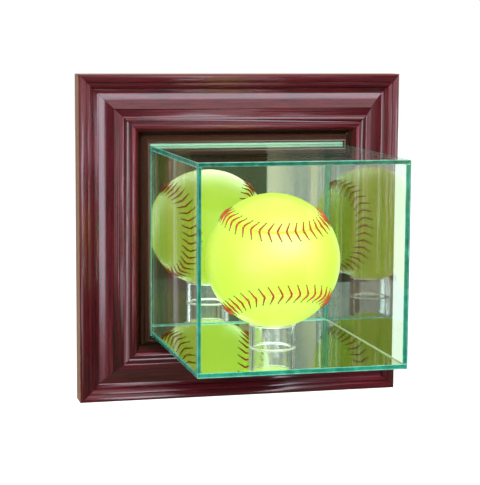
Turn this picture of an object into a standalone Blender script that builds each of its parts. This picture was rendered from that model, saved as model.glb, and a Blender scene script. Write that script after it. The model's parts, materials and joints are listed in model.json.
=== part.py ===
"""Wall-hung display case for one 12 inch softball.

A square frame of four mitred rails carries a glass box that reaches forward through its sight
opening. The floor of the box and the panel behind it are mirrors. The ball sits on a clear ring.
The mirror and its backing board lie in the frame's rabbet, held by four turn buttons, and the case
hangs on a sawtooth hanger.

The origin is on the frame's flat back, at the hanger's middle notch. The wall is at +Y and the
viewer at -Y. Lengths are in metres.
"""

import math

import bmesh
import bpy
from mathutils import Matrix, Vector

MM = 0.001
INCH = 25.4 * MM

# Clearances between neighbours, and how far a cutter runs past what it cuts
GAP = 0.3 * MM
GLUE_GAP = 0.2 * MM
OVERRUN = 2.0 * MM
WELD = 0.001 * MM

# Frame: one moulding, four mitred rails
SIGHT_WIDTH = 151.6 * MM
SIGHT_HEIGHT = 148.8 * MM
MOULDING_WIDTH = 51.0 * MM
MOULDING_EDGE = 17.0 * MM
MOULDING_RISE = 20.0 * MM
SIGHT_RISE = 18.0 * MM
RABBET_WIDTH = 6.3 * MM
RABBET_DEPTH = 7.2 * MM
MITRE_GAP = 0.2 * MM

# The moulding's face from its outer edge to its sight edge: shares of its width and of its rise,
# and whether the outline has a corner there
MOULDING_FACE_SHARES = (
    (0.000, 0.000, True),
    (0.020, 0.080, False),
    (0.063, 0.145, False),
    (0.108, 0.160, True),
    (0.122, 0.120, True),
    (0.159, 0.145, False),
    (0.196, 0.115, False),
    (0.210, 0.015, True),
    (0.226, 0.015, True),
    (0.320, 0.095, False),
    (0.388, 0.190, False),
    (0.475, 0.385, False),
    (0.569, 0.635, False),
    (0.629, 0.765, True),
    (0.712, 0.775, True),
    (0.735, 0.875, False),
    (0.778, 0.925, False),
    (0.822, 0.830, False),
    (0.848, 0.640, False),
    (0.861, 0.470, True),
    (0.890, 0.430, True),
    (0.925, 0.610, False),
    (0.959, 0.880, False),
    (0.986, 0.985, False),
)

# V-shaped nails driven into the back of each mitre
V_NAIL_INSETS = (22.0 * MM, 34.0 * MM)
V_NAIL_LEG = 5.0 * MM
V_NAIL_THICKNESS = 0.6 * MM
V_NAIL_HEIGHT = 9.0 * MM

# Glass box, in the sight opening: its front pane goes over the edges of the other four
BOX_SIDE_GAP = 1.6 * MM
BOX_LEVEL_GAP = 2.2 * MM
BOX_DEPTH = 183.4 * MM
GLASS = 3.0 * MM
ARRIS = 0.35 * MM

# Clear sealant between the sight edge and the box, on all four sides
SEALANT_DEPTH = 11.0 * MM
SEALANT_EDGE = 0.3 * MM

# Back panel, lying in the rabbet
BACK_MIRROR = 3.0 * MM
BACKING_BOARD = 3.3 * MM
BOARD_EDGE = 0.4 * MM

# Ring stand and softball
BALL_GIRTH = 12.0 * INCH
COVER = 2.7 * MM
SEAM_GAP = 0.7 * MM
SEAM_SHARES = (-0.407, 0.788)
RING_OUTER_RADIUS = 17.0 * MM
RING_WALL = 3.0 * MM
RING_HEIGHT = 16.5 * MM
RING_FROM_FRONT = 83.0 * MM
BALL_TURN = math.radians(1.7)
BALL_TIP = math.radians(-4.8)
BALL_ROLL = math.radians(-0.7)

# Turn buttons and their screws
BUTTON_REACH = 22.0 * MM
BUTTON_WIDTH = 10.0 * MM
BUTTON_THICKNESS = 1.5 * MM
BUTTON_EDGE = 0.3 * MM
BUTTON_SPREAD = 45.0 * MM
BUTTON_INSET = 8.1 * MM
SCREW_HEAD_RADIUS = 3.6 * MM
SCREW_HEAD_HEIGHT = 1.8 * MM
SCREW_CROWN = 0.9 * MM
SCREW_RADIUS = 1.5 * MM
SCREW_LENGTH = 11.0 * MM
SCREW_POINT = 2.5 * MM

# Sawtooth hanger and its nails
HANGER_DROP = 20.0 * MM
HANGER_WIDTH = 45.0 * MM
HANGER_ABOVE = 6.5 * MM
HANGER_SHEET = 0.8 * MM
HANGER_STANDOFF = 1.2 * MM
HANGER_PLATE = 27.0 * MM
HANGER_RAMP = 2.0 * MM
TOOTH_PITCH = 3.0 * MM
TOOTH_DEPTH = 2.4 * MM
TOOTH_TIP = 0.5 * MM
TOOTH_COUNT = 7
HANGER_NAIL_SPREAD = 38.0 * MM
NAIL_RADIUS = 0.9 * MM
NAIL_HEAD_RADIUS = 2.1 * MM
NAIL_HEAD_HEIGHT = 0.7 * MM
NAIL_LENGTH = 9.0 * MM
NAIL_POINT = 2.0 * MM

# Wall bumpers in the frame's back corners
BUMPER_RADIUS = 5.0 * MM
BUMPER_HEIGHT = 4.2 * MM
BUMPER_ROUND = 1.2 * MM
BUMPER_INSET = 12.0 * MM

# Places that follow from the sizes above, measured from the frame's centre
FRAME_HALF_WIDTH = SIGHT_WIDTH / 2 + MOULDING_WIDTH
FRAME_HALF_HEIGHT = SIGHT_HEIGHT / 2 + MOULDING_WIDTH
BOX_WIDTH = SIGHT_WIDTH - 2 * BOX_SIDE_GAP
BOX_HEIGHT = SIGHT_HEIGHT - 2 * BOX_LEVEL_GAP
SHELF_Y = -RABBET_DEPTH
BOX_FRONT_Y = SHELF_Y - BOX_DEPTH
PANE_FRONT_Y = BOX_FRONT_Y + GLASS + GLUE_GAP
BALL_RADIUS = BALL_GIRTH / math.tau
FLOOR_Z = GLASS - BOX_HEIGHT / 2
RING_Y = BOX_FRONT_Y + RING_FROM_FRONT
RING_INNER_RADIUS = RING_OUTER_RADIUS - RING_WALL
RING_TOP_Z = FLOOR_Z + GAP + RING_HEIGHT
BALL_Z = RING_TOP_Z + math.sqrt((BALL_RADIUS + GAP) ** 2 - RING_INNER_RADIUS**2)
BUTTON_X = SIGHT_WIDTH / 2 + RABBET_WIDTH + BUTTON_INSET
BUTTON_BACK_Y = GAP + BUTTON_THICKNESS

TURNED_STEPS = 20
HOLE_STEPS = 16
RING_STEPS = 48
COVER_COLUMNS = 58
COVER_ROWS = 12
COVER_CROWDING_SHARE = 0.75
HALVINGS = 40
FACE_UP = math.radians(90)


def clear_scene():
    for obj in list(bpy.data.objects):
        bpy.data.objects.remove(obj, do_unlink=True)


def new_collection(name):
    collection = bpy.data.collections.new(name)
    bpy.context.scene.collection.children.link(collection)
    return collection


def make_material(name, colour, roughness, metallic=0.0, transmission=0.0):
    material = bpy.data.materials.new(name)
    material.use_nodes = True
    shader = material.node_tree.nodes["Principled BSDF"]
    shader.inputs["Base Color"].default_value = (*colour, 1.0)
    shader.inputs["Roughness"].default_value = roughness
    shader.inputs["Metallic"].default_value = metallic
    shader.inputs["Transmission Weight"].default_value = transmission
    return material


def add_piece(name, mesh, material, parent, location=(0, 0, 0)):
    """A named sub-part, placed from its parent."""
    obj = bpy.data.objects.new(name, mesh)
    case_parts.objects.link(obj)
    mesh.materials.clear()
    mesh.materials.append(material)
    mesh.shade_smooth()
    mesh.set_sharp_from_angle(angle=math.radians(35))
    obj.parent = parent
    obj.location = location
    return obj


def add_cutter(name, mesh, parent, location=(0, 0, 0)):
    obj = bpy.data.objects.new(name, mesh)
    cutters.objects.link(obj)
    obj.hide_render = True
    obj.display_type = "WIRE"
    obj.parent = parent
    obj.location = location
    return obj


def add_empty(name, parent=None, location=(0, 0, 0)):
    empty = bpy.data.objects.new(name, None)
    case_parts.objects.link(empty)
    empty.parent = parent
    empty.location = location
    return empty


def cut(obj, cutter, operation="DIFFERENCE"):
    modifier = obj.modifiers.new(cutter.name, "BOOLEAN")
    modifier.object = cutter
    modifier.operation = operation
    modifier.solver = "EXACT"


def mesh_from(bm, name):
    mesh = bpy.data.meshes.new(name)
    bm.to_mesh(mesh)
    bm.free()
    return mesh


def box_mesh(name, size):
    """A block centred on its own origin."""
    bm = bmesh.new()
    bmesh.ops.create_cube(bm, size=1.0, matrix=Matrix.Diagonal((*size, 1.0)))
    return mesh_from(bm, name)


def arris(obj, width, segments=1):
    """Ground or eased edges."""
    modifier = obj.modifiers.new("arris", "BEVEL")
    modifier.width = width
    modifier.segments = segments
    modifier.limit_method = "ANGLE"


def outline_mesh(name, outlines, thickness, edge=0.0, resolution=4):
    """A flat outline with any holes, made solid to a thickness along local Z.

    A point is (x, y) for a corner, or (x, y, False) where the outline runs smoothly through it.
    """
    curve = bpy.data.curves.new(name, "CURVE")
    curve.dimensions = "2D"
    curve.fill_mode = "BOTH"
    curve.extrude = thickness / 2 - edge
    curve.bevel_depth = edge
    curve.bevel_resolution = 0
    curve.offset = -edge
    curve.resolution_u = resolution
    for outline in outlines:
        spline = curve.splines.new("BEZIER")
        spline.bezier_points.add(len(outline) - 1)
        spline.use_cyclic_u = True
        for point, (x, y, *corner) in zip(spline.bezier_points, outline):
            point.co = (x, y, 0)
            handle = "AUTO" if corner == [False] else "VECTOR"
            point.handle_left_type = handle
            point.handle_right_type = handle
    drawn = bpy.data.objects.new(name, curve)
    bpy.context.scene.collection.objects.link(drawn)
    depsgraph = bpy.context.evaluated_depsgraph_get()
    mesh = bpy.data.meshes.new_from_object(drawn.evaluated_get(depsgraph))
    bpy.data.objects.remove(drawn, do_unlink=True)
    bm = bmesh.new()
    bm.from_mesh(mesh)
    bmesh.ops.remove_doubles(bm, verts=bm.verts, dist=WELD)
    bmesh.ops.recalc_face_normals(bm, faces=bm.faces)
    bm.to_mesh(mesh)
    bm.free()
    return mesh


def arc_points(x, y, radius, start, end, steps):
    """Corners of a polyline along an arc, from one angle to another."""
    angles = [start + (end - start) * step / steps for step in range(steps + 1)]
    return [(x + radius * math.cos(angle), y + radius * math.sin(angle)) for angle in angles]


def circle_outline(x, y, radius):
    return arc_points(x, y, radius, 0, math.tau, HOLE_STEPS)[:-1]


def stand_up(mesh):
    """Turn a mesh drawn in the XY plane to stand in the XZ plane, its old top towards -Y."""
    mesh.transform(Matrix.Rotation(FACE_UP, 4, "X"))
    return mesh


def turned_piece(name, profile, material, parent, location, steps=TURNED_STEPS):
    """A round piece on the Y axis. The profile is (radius, y) from its wall end to its front end."""
    bm = bmesh.new()
    points = [bm.verts.new((radius, y, 0)) for radius, y in profile]
    for first, second in zip(points, points[1:]):
        bm.edges.new((first, second))
    piece = add_piece(name, mesh_from(bm, name), material, parent, location)
    screw = piece.modifiers.new("turn", "SCREW")
    screw.axis = "Y"
    screw.steps = steps
    screw.render_steps = steps
    screw.use_merge_vertices = True
    screw.merge_threshold = WELD
    screw.use_smooth_shade = True
    return piece


# Frame


def moulding_outline():
    """The rail's section: x runs inward from the outer edge, y towards the viewer from it."""
    face = [
        (across * MOULDING_WIDTH, rise * MOULDING_RISE, corner)
        for across, rise, corner in MOULDING_FACE_SHARES
    ]
    shelf = RABBET_DEPTH - MOULDING_EDGE
    rabbet = MOULDING_WIDTH - RABBET_WIDTH
    return [
        *face,
        (MOULDING_WIDTH, SIGHT_RISE),
        (MOULDING_WIDTH, shelf),
        (rabbet, shelf),
        (rabbet, -MOULDING_EDGE),
        (0, -MOULDING_EDGE),
    ]


def make_rail(name, turn, half_along, half_across):
    """A length of moulding, mitred at both ends. It is made as the top rail and turned about Y.

    half_along is half the sight opening along the rail, half_across half the opening across it.
    """
    reach = half_across + MOULDING_WIDTH
    length = 2 * (half_along + MOULDING_WIDTH + OVERRUN)
    mesh = outline_mesh(name, [moulding_outline()], length)
    mesh.transform(
        Matrix(
            (
                (0, 0, -1, 0),
                (0, -1, 0, -MOULDING_EDGE),
                (-1, 0, 0, reach),
                (0, 0, 0, 1),
            )
        )
    )
    bm = bmesh.new()
    bm.from_mesh(mesh)
    for side in (-1, 1):
        sight_corner = Vector((side * half_along, 0, half_across))
        outward = Vector((side, 0, -1)).normalized()
        bmesh.ops.bisect_plane(
            bm,
            geom=[*bm.verts, *bm.edges, *bm.faces],
            plane_co=sight_corner - outward * (MITRE_GAP / 2),
            plane_no=outward,
            clear_outer=True,
        )
        open_edges = [edge for edge in bm.edges if edge.is_boundary]
        bmesh.ops.holes_fill(bm, edges=open_edges, sides=0)
    bmesh.ops.recalc_face_normals(bm, faces=bm.faces)
    bm.to_mesh(mesh)
    bm.free()
    mesh.transform(Matrix.Rotation(turn, 4, "Y"))
    return add_piece(name, mesh, cherry, case_centre)


def v_outline(clearance):
    """A right-angled V, its point at the origin and its legs towards -X and -Y."""
    outer = clearance
    inner = -V_NAIL_THICKNESS - clearance
    tip = -V_NAIL_LEG - clearance
    return [(outer, outer), (tip, outer), (tip, inner), (inner, inner), (inner, tip), (outer, tip)]


def make_v_nails(rails):
    """Two nails across each mitre, in slots that both rails share."""
    slot_depth = V_NAIL_HEIGHT + 2 * GAP
    slot_height = slot_depth + OVERRUN
    corners = (("upper_right", 1, 1), ("lower_right", 1, -1), ("lower_left", -1, -1), ("upper_left", -1, 1))
    for turn, (corner, side_x, side_z) in enumerate(corners):
        facing = Matrix.Rotation(turn * FACE_UP, 4, "Y")
        pair = [rails["top" if side_z > 0 else "bottom"], rails["right" if side_x > 0 else "left"]]
        for number, inset in enumerate(V_NAIL_INSETS, start=1):
            name = f"v_nail_{corner}_{number}"
            x = side_x * (FRAME_HALF_WIDTH - inset)
            z = side_z * (FRAME_HALF_HEIGHT - inset)
            nail = stand_up(outline_mesh(name, [v_outline(0)], V_NAIL_HEIGHT))
            nail.transform(facing)
            add_piece(name, nail, steel, case_centre, (x, -GAP - V_NAIL_HEIGHT / 2, z))
            slot = stand_up(outline_mesh(f"{name}_slot", [v_outline(GAP)], slot_height))
            slot.transform(facing)
            slot_y = OVERRUN - slot_height / 2
            cutter = add_cutter(f"{name}_slot", slot, case_centre, (x, slot_y, z))
            for rail in pair:
                cut(rail, cutter)


def pilot_hole(rail, name, x, z, radius, depth):
    """A blind hole in the rail's back for a screw or nail."""
    bm = bmesh.new()
    bmesh.ops.create_cone(
        bm,
        cap_ends=True,
        segments=TURNED_STEPS,
        radius1=radius,
        radius2=radius,
        depth=depth + OVERRUN,
        matrix=Matrix.Rotation(FACE_UP, 4, "X"),
    )
    location = (x, (OVERRUN - depth) / 2, z)
    cut(rail, add_cutter(name, mesh_from(bm, name), case_centre, location))


def make_frame():
    half_width, half_height = SIGHT_WIDTH / 2, SIGHT_HEIGHT / 2
    rails = {
        "top": make_rail("frame_rail_top", 0, half_width, half_height),
        "right": make_rail("frame_rail_right", FACE_UP, half_height, half_width),
        "bottom": make_rail("frame_rail_bottom", 2 * FACE_UP, half_width, half_height),
        "left": make_rail("frame_rail_left", 3 * FACE_UP, half_height, half_width),
    }
    make_v_nails(rails)
    return rails


# Glass box


def make_pane(name, size, location, material):
    pane = add_piece(name, box_mesh(name, size), material, case_centre, location)
    arris(pane, ARRIS)
    return pane


def make_glass_box():
    """The front pane covers the front edges of the rest. The side panes stand between top and floor."""
    pane_depth = SHELF_Y - PANE_FRONT_Y
    middle_y = (SHELF_Y + PANE_FRONT_Y) / 2
    level_z = (BOX_HEIGHT - GLASS) / 2
    upright_x = (BOX_WIDTH - GLASS) / 2
    upright_height = BOX_HEIGHT - 2 * (GLASS + GLUE_GAP)
    front_y = BOX_FRONT_Y + GLASS / 2
    level = (BOX_WIDTH, pane_depth, GLASS)
    upright = (GLASS, pane_depth, upright_height)
    make_pane("glass_front", (BOX_WIDTH, GLASS, BOX_HEIGHT), (0, front_y, 0), clear_glass)
    make_pane("glass_top", level, (0, middle_y, level_z), clear_glass)
    make_pane("mirror_floor", level, (0, middle_y, -level_z), silvered_glass)
    make_pane("glass_left", upright, (-upright_x, middle_y, 0), clear_glass)
    make_pane("glass_right", upright, (upright_x, middle_y, 0), clear_glass)


def make_sealant():
    """Clear strips that fill the slot round the box, flush with the sight edge."""
    y = SEALANT_DEPTH / 2 - MOULDING_EDGE - SIGHT_RISE
    level = (SIGHT_WIDTH - 2 * GAP, SEALANT_DEPTH, BOX_LEVEL_GAP - 2 * GAP)
    upright = (BOX_SIDE_GAP - 2 * GAP, SEALANT_DEPTH, BOX_HEIGHT)
    x = (BOX_WIDTH + BOX_SIDE_GAP) / 2
    z = (BOX_HEIGHT + BOX_LEVEL_GAP) / 2
    strips = (
        ("sealant_top", level, (0, y, z)),
        ("sealant_bottom", level, (0, y, -z)),
        ("sealant_left", upright, (-x, y, 0)),
        ("sealant_right", upright, (x, y, 0)),
    )
    for name, size, place in strips:
        arris(add_piece(name, box_mesh(name, size), sealant, case_centre, place), SEALANT_EDGE)


# Back panel


def make_back_panel():
    """The mirror against the rabbet's shelf and the hardboard behind it. They lift out together."""
    panel = add_empty("back_panel", case_centre)
    width = SIGHT_WIDTH + 2 * (RABBET_WIDTH - GAP)
    height = SIGHT_HEIGHT + 2 * (RABBET_WIDTH - GAP)
    mirror_y = SHELF_Y + GAP + BACK_MIRROR / 2
    board_y = SHELF_Y + 2 * GAP + BACK_MIRROR + BACKING_BOARD / 2
    mirror_size = (width, BACK_MIRROR, height)
    mirror = add_piece(
        "mirror_back", box_mesh("mirror_back", mirror_size), silvered_glass, panel, (0, mirror_y, 0)
    )
    arris(mirror, ARRIS)
    board_size = (width, BACKING_BOARD, height)
    board = add_piece(
        "backing_board", box_mesh("backing_board", board_size), hardboard, panel, (0, board_y, 0)
    )
    arris(board, BOARD_EDGE)


# Turn buttons, hanger and bumpers on the frame's back


def button_outline():
    """A flat bar with round ends, pointing up from its pivot, and the hole for its screw."""
    half = BUTTON_WIDTH / 2
    tip = arc_points(0, BUTTON_REACH - half, half, 0, math.pi, HOLE_STEPS // 2)
    foot = arc_points(0, 0, half, math.pi, math.tau, HOLE_STEPS // 2)
    return [tip + foot, circle_outline(0, 0, SCREW_RADIUS + GAP)]


def make_turn_buttons(rails):
    """Rest pose: turned clear of the back panel, along the rail. Each turns inward over the board."""
    head_y = BUTTON_BACK_Y + GAP
    sides = (("upper_left", "left", -1, 1), ("lower_left", "left", -1, -1))
    sides += (("upper_right", "right", 1, 1), ("lower_right", "right", 1, -1))
    for place, side, side_x, side_z in sides:
        x, z = side_x * BUTTON_X, side_z * BUTTON_SPREAD
        name = f"turn_button_{place}"
        bar = stand_up(outline_mesh(name, button_outline(), BUTTON_THICKNESS, BUTTON_EDGE))
        add_piece(name, bar, blackened_steel, case_centre, (x, GAP + BUTTON_THICKNESS / 2, z))
        shoulder_y = head_y + SCREW_HEAD_HEIGHT - (SCREW_HEAD_HEIGHT - SCREW_CROWN) / 3
        screw_profile = (
            (0, head_y + SCREW_HEAD_HEIGHT),
            (SCREW_HEAD_RADIUS / 2, shoulder_y),
            (SCREW_HEAD_RADIUS, head_y + SCREW_CROWN),
            (SCREW_HEAD_RADIUS, head_y),
            (SCREW_RADIUS, head_y),
            (SCREW_RADIUS, head_y - SCREW_LENGTH + SCREW_POINT),
            (0, head_y - SCREW_LENGTH),
        )
        turned_piece(f"button_screw_{place}", screw_profile, steel, case_centre, (x, 0, z))
        depth = SCREW_LENGTH - head_y + GAP
        pilot_hole(rails[side], f"pilot_{place}", x, z, SCREW_RADIUS + GAP, depth)


def hanger_outline():
    """The plate seen from behind: straight top, round nail holes, teeth along the lower edge."""
    half = HANGER_WIDTH / 2
    teeth = []
    for number in range(TOOTH_COUNT):
        notch_x = (number - (TOOTH_COUNT - 1) / 2) * TOOTH_PITCH
        foot = (TOOTH_PITCH - TOOTH_TIP) / 2
        teeth += [(notch_x - foot, -TOOTH_DEPTH), (notch_x, 0), (notch_x + foot, -TOOTH_DEPTH)]
    outer = [
        (-half, HANGER_ABOVE),
        (-half, -TOOTH_DEPTH),
        *teeth,
        (half, -TOOTH_DEPTH),
        (half, HANGER_ABOVE),
    ]
    hole_z = (HANGER_ABOVE - TOOTH_DEPTH) / 2
    hole_x = HANGER_NAIL_SPREAD / 2
    holes = [circle_outline(side * hole_x, hole_z, NAIL_RADIUS + GAP) for side in (-1, 1)]
    return [outer, *holes]


def hanger_section():
    """The bent sheet seen from above: two tabs on the wood, the toothed plate standing off it."""
    half = HANGER_WIDTH / 2 + OVERRUN
    plate = HANGER_PLATE / 2
    ramp = plate + HANGER_RAMP
    path = [
        (-half, GAP),
        (-ramp, GAP),
        (-plate, GAP + HANGER_STANDOFF),
        (plate, GAP + HANGER_STANDOFF),
        (ramp, GAP),
        (half, GAP),
    ]
    return path + [(x, y + HANGER_SHEET) for x, y in reversed(path)]


def make_hanger(rails):
    hanger_z = FRAME_HALF_HEIGHT - HANGER_DROP
    sheet_height = 2 * (HANGER_ABOVE + TOOTH_DEPTH + OVERRUN)
    sheet = outline_mesh("sawtooth_hanger", [hanger_section()], sheet_height)
    hanger = add_piece("sawtooth_hanger", sheet, steel, case_centre, (0, 0, hanger_z))
    blank_depth = 2 * (GAP + HANGER_STANDOFF + HANGER_SHEET + OVERRUN)
    blank = stand_up(outline_mesh("hanger_blank", hanger_outline(), blank_depth))
    cut(hanger, add_cutter("hanger_blank", blank, case_centre, (0, 0, hanger_z)), "INTERSECT")
    head_y = GAP + HANGER_SHEET + GAP
    nail_z = hanger_z + (HANGER_ABOVE - TOOTH_DEPTH) / 2
    nail_profile = (
        (0, head_y + NAIL_HEAD_HEIGHT),
        (NAIL_HEAD_RADIUS, head_y + NAIL_HEAD_HEIGHT / 2),
        (NAIL_HEAD_RADIUS, head_y),
        (NAIL_RADIUS, head_y),
        (NAIL_RADIUS, head_y - NAIL_LENGTH + NAIL_POINT),
        (0, head_y - NAIL_LENGTH),
    )
    for side, side_x in (("left", -1), ("right", 1)):
        x = side_x * HANGER_NAIL_SPREAD / 2
        turned_piece(f"hanger_nail_{side}", nail_profile, steel, case_centre, (x, 0, nail_z))
        depth = NAIL_LENGTH - head_y + GAP
        pilot_hole(rails["top"], f"nail_hole_{side}", x, nail_z, NAIL_RADIUS + GAP, depth)


def make_bumpers():
    profile = (
        (0, GAP + BUMPER_HEIGHT),
        (BUMPER_RADIUS - BUMPER_ROUND, GAP + BUMPER_HEIGHT),
        (BUMPER_RADIUS - BUMPER_ROUND / 3, GAP + BUMPER_HEIGHT - BUMPER_ROUND / 3),
        (BUMPER_RADIUS, GAP + BUMPER_HEIGHT - BUMPER_ROUND),
        (BUMPER_RADIUS, GAP),
        (0, GAP),
    )
    for vertical, side_z in (("upper", 1), ("lower", -1)):
        for side, side_x in (("left", -1), ("right", 1)):
            x = side_x * (FRAME_HALF_WIDTH - BUMPER_INSET)
            z = side_z * (FRAME_HALF_HEIGHT - BUMPER_INSET)
            name = f"wall_bumper_{vertical}_{side}"
            turned_piece(name, profile, rubber, case_centre, (x, 0, z))


# Ring stand and softball


def make_ring_stand():
    """A cut length of clear tube, standing on the mirrored floor."""
    bm = bmesh.new()
    half = RING_HEIGHT / 2
    section = (
        (RING_OUTER_RADIUS, half),
        (RING_OUTER_RADIUS, -half),
        (RING_INNER_RADIUS, -half),
        (RING_INNER_RADIUS, half),
    )
    points = [bm.verts.new((radius, 0, z)) for radius, z in section]
    for first, second in zip(points, points[1:] + points[:1]):
        bm.edges.new((first, second))
    location = (0, RING_Y, RING_TOP_Z - half)
    ring = add_piece("ring_stand", mesh_from(bm, "ring_stand"), acrylic, case_centre, location)
    screw = ring.modifiers.new("turn", "SCREW")
    screw.steps = RING_STEPS
    screw.render_steps = RING_STEPS
    screw.use_merge_vertices = True
    screw.merge_threshold = WELD
    screw.use_smooth_shade = True


def seam_level(x, y, z):
    """More than nothing on the front cover and less on the rear one, on a ball of radius 1."""
    return x * x - y * y + SEAM_SHARES[0] * z + SEAM_SHARES[1] * z**3


def halved(inside, outside, holds):
    """The last value on the way from inside to outside that holds, by halving."""
    for _ in range(HALVINGS):
        middle = (inside + outside) / 2
        if holds(middle):
            inside = middle
        else:
            outside = middle
    return inside


def on_ball(along, across):
    """A direction from an angle along a cover's middle line and one away from it."""
    return (
        math.sin(along) * math.cos(across),
        math.sin(across),
        math.cos(along) * math.cos(across),
    )


def seam_half_angle(along, level):
    """Half the width of a cover, as an angle, at an angle along its middle line."""
    return halved(0.0, FACE_UP, lambda across: seam_level(*on_ball(along, across)) > level)


def cover_end_angle(level):
    """The angle from a cover's waist to the end of its lobe: where the half width falls to nothing."""
    return halved(FACE_UP, 2 * FACE_UP, lambda along: seam_level(*on_ball(along, 0)) > level)


def cover_mesh():
    """One of the two like covers: a figure of eight, waist towards +Z and lobes towards +X and -X.

    Solidify gives it the leather's thickness towards the inside.
    """
    level = SEAM_GAP / BALL_RADIUS
    end = cover_end_angle(level)
    bm = bmesh.new()
    bmesh.ops.create_grid(bm, x_segments=COVER_COLUMNS, y_segments=COVER_ROWS, size=1.0)
    for vertex in bm.verts:
        column, row = vertex.co.x, vertex.co.y
        eased = math.sin(column * FACE_UP)
        along = end * ((1 - COVER_CROWDING_SHARE) * column + COVER_CROWDING_SHARE * eased)
        across = row * seam_half_angle(along, level)
        vertex.co = Vector(on_ball(along, across)) * BALL_RADIUS
    bmesh.ops.remove_doubles(bm, verts=bm.verts, dist=WELD)
    bmesh.ops.recalc_face_normals(bm, faces=bm.faces)
    if sum(face.normal.dot(face.calc_center_median()) for face in bm.faces) < 0:
        bmesh.ops.reverse_faces(bm, faces=bm.faces)
    return mesh_from(bm, "softball_cover")


def make_softball():
    """Two covers round a moulded core. The waist of the front cover faces the viewer."""
    ball = add_empty("softball", case_centre, (0, RING_Y, BALL_Z))
    facing = (
        Matrix.Rotation(BALL_TURN, 4, "Z")
        @ Matrix.Rotation(BALL_TIP, 4, "X")
        @ Matrix.Rotation(BALL_ROLL, 4, "Y")
        @ Matrix.Rotation(FACE_UP, 4, "X")
    )
    ball.rotation_euler = facing.to_euler()
    swap = Matrix.Rotation(math.pi, 4, Vector((1, 1, 0)))
    for name, placing in (("softball_cover_front", Matrix()), ("softball_cover_rear", swap)):
        mesh = cover_mesh()
        mesh.transform(placing)
        cover = add_piece(name, mesh, yellow_leather, ball)
        skin = cover.modifiers.new("leather", "SOLIDIFY")
        skin.thickness = COVER
        skin.offset = -1.0
    bm = bmesh.new()
    bmesh.ops.create_icosphere(bm, subdivisions=4, radius=BALL_RADIUS - COVER - 1.5 * GAP)
    add_piece("softball_core", mesh_from(bm, "softball_core"), core_foam, ball)


clear_scene()
case_parts = new_collection("softball_display_case")
cutters = new_collection("cutters")

cherry = make_material("cherry_lacquer", (0.13, 0.02, 0.03), 0.3)
clear_glass = make_material("clear_glass", (0.75, 0.95, 0.88), 0.02, transmission=1.0)
silvered_glass = make_material("silvered_glass", (0.86, 0.9, 0.88), 0.02, metallic=1.0)
sealant = make_material("clear_sealant", (0.7, 0.85, 0.76), 0.3, transmission=0.6)
hardboard = make_material("hardboard", (0.26, 0.15, 0.08), 0.8)
acrylic = make_material("clear_acrylic", (0.95, 0.97, 0.97), 0.03, transmission=1.0)
yellow_leather = make_material("optic_yellow_leather", (0.76, 1.0, 0.05), 0.45)
core_foam = make_material("moulded_core", (0.75, 0.68, 0.5), 0.7)
steel = make_material("zinc_plated_steel", (0.6, 0.6, 0.58), 0.35, metallic=1.0)
blackened_steel = make_material("blackened_steel", (0.05, 0.05, 0.055), 0.4, metallic=1.0)
rubber = make_material("bumper_rubber", (0.04, 0.04, 0.04), 0.7)

case_centre = add_empty("case_centre", location=(0, 0, HANGER_DROP - FRAME_HALF_HEIGHT))
frame_rails = make_frame()
make_glass_box()
make_sealant()
make_back_panel()
make_turn_buttons(frame_rails)
make_hanger(frame_rails)
make_bumpers()
make_ring_stand()
make_softball()
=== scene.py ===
import json
import math

import bmesh
import bpy
from mathutils import Matrix, Vector

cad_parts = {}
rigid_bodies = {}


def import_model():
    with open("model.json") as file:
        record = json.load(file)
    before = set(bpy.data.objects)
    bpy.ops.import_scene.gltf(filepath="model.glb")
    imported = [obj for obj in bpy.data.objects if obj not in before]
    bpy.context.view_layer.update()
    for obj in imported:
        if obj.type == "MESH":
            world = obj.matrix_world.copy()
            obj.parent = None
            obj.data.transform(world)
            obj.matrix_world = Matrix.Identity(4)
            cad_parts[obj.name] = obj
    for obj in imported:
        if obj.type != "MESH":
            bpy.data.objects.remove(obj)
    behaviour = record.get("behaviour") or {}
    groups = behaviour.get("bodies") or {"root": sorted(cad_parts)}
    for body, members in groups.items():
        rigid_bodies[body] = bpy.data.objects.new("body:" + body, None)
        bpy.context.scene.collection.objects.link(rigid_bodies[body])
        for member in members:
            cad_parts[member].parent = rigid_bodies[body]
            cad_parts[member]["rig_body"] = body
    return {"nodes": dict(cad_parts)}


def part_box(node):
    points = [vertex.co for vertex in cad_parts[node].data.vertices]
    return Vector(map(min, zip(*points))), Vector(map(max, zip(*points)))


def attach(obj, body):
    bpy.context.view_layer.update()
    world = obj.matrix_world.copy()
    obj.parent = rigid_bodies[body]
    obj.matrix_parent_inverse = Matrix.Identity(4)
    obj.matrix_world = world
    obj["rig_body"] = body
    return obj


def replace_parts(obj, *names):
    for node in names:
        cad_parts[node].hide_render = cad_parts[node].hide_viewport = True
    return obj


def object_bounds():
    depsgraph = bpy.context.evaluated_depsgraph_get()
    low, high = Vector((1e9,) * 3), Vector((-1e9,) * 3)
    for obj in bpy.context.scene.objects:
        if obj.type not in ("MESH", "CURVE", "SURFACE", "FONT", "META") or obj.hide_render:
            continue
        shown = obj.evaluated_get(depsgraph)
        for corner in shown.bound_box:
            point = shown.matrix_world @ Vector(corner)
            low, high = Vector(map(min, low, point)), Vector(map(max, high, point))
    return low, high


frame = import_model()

cad_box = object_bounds()

# The camera
# A catalogue view of a wall piece: a long lens at 1.2 m, a little to the left of the case and above
# its middle. Place and angles were fitted to the glass box's corners and the ball's outline.
MM = 0.001
CAMERA_PLACE = (-0.3069, -1.2189, 0.0523)
CAMERA_YAW = 0.2490
CAMERA_PITCH = -0.1301
CAMERA_ROLL = 0.0062
LENS = 119.7
SENSOR_WIDTH = 36.0


def put_in_scene(name, data):
    thing = bpy.data.objects.new(name, data)
    bpy.context.scene.collection.objects.link(thing)
    return thing


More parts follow.
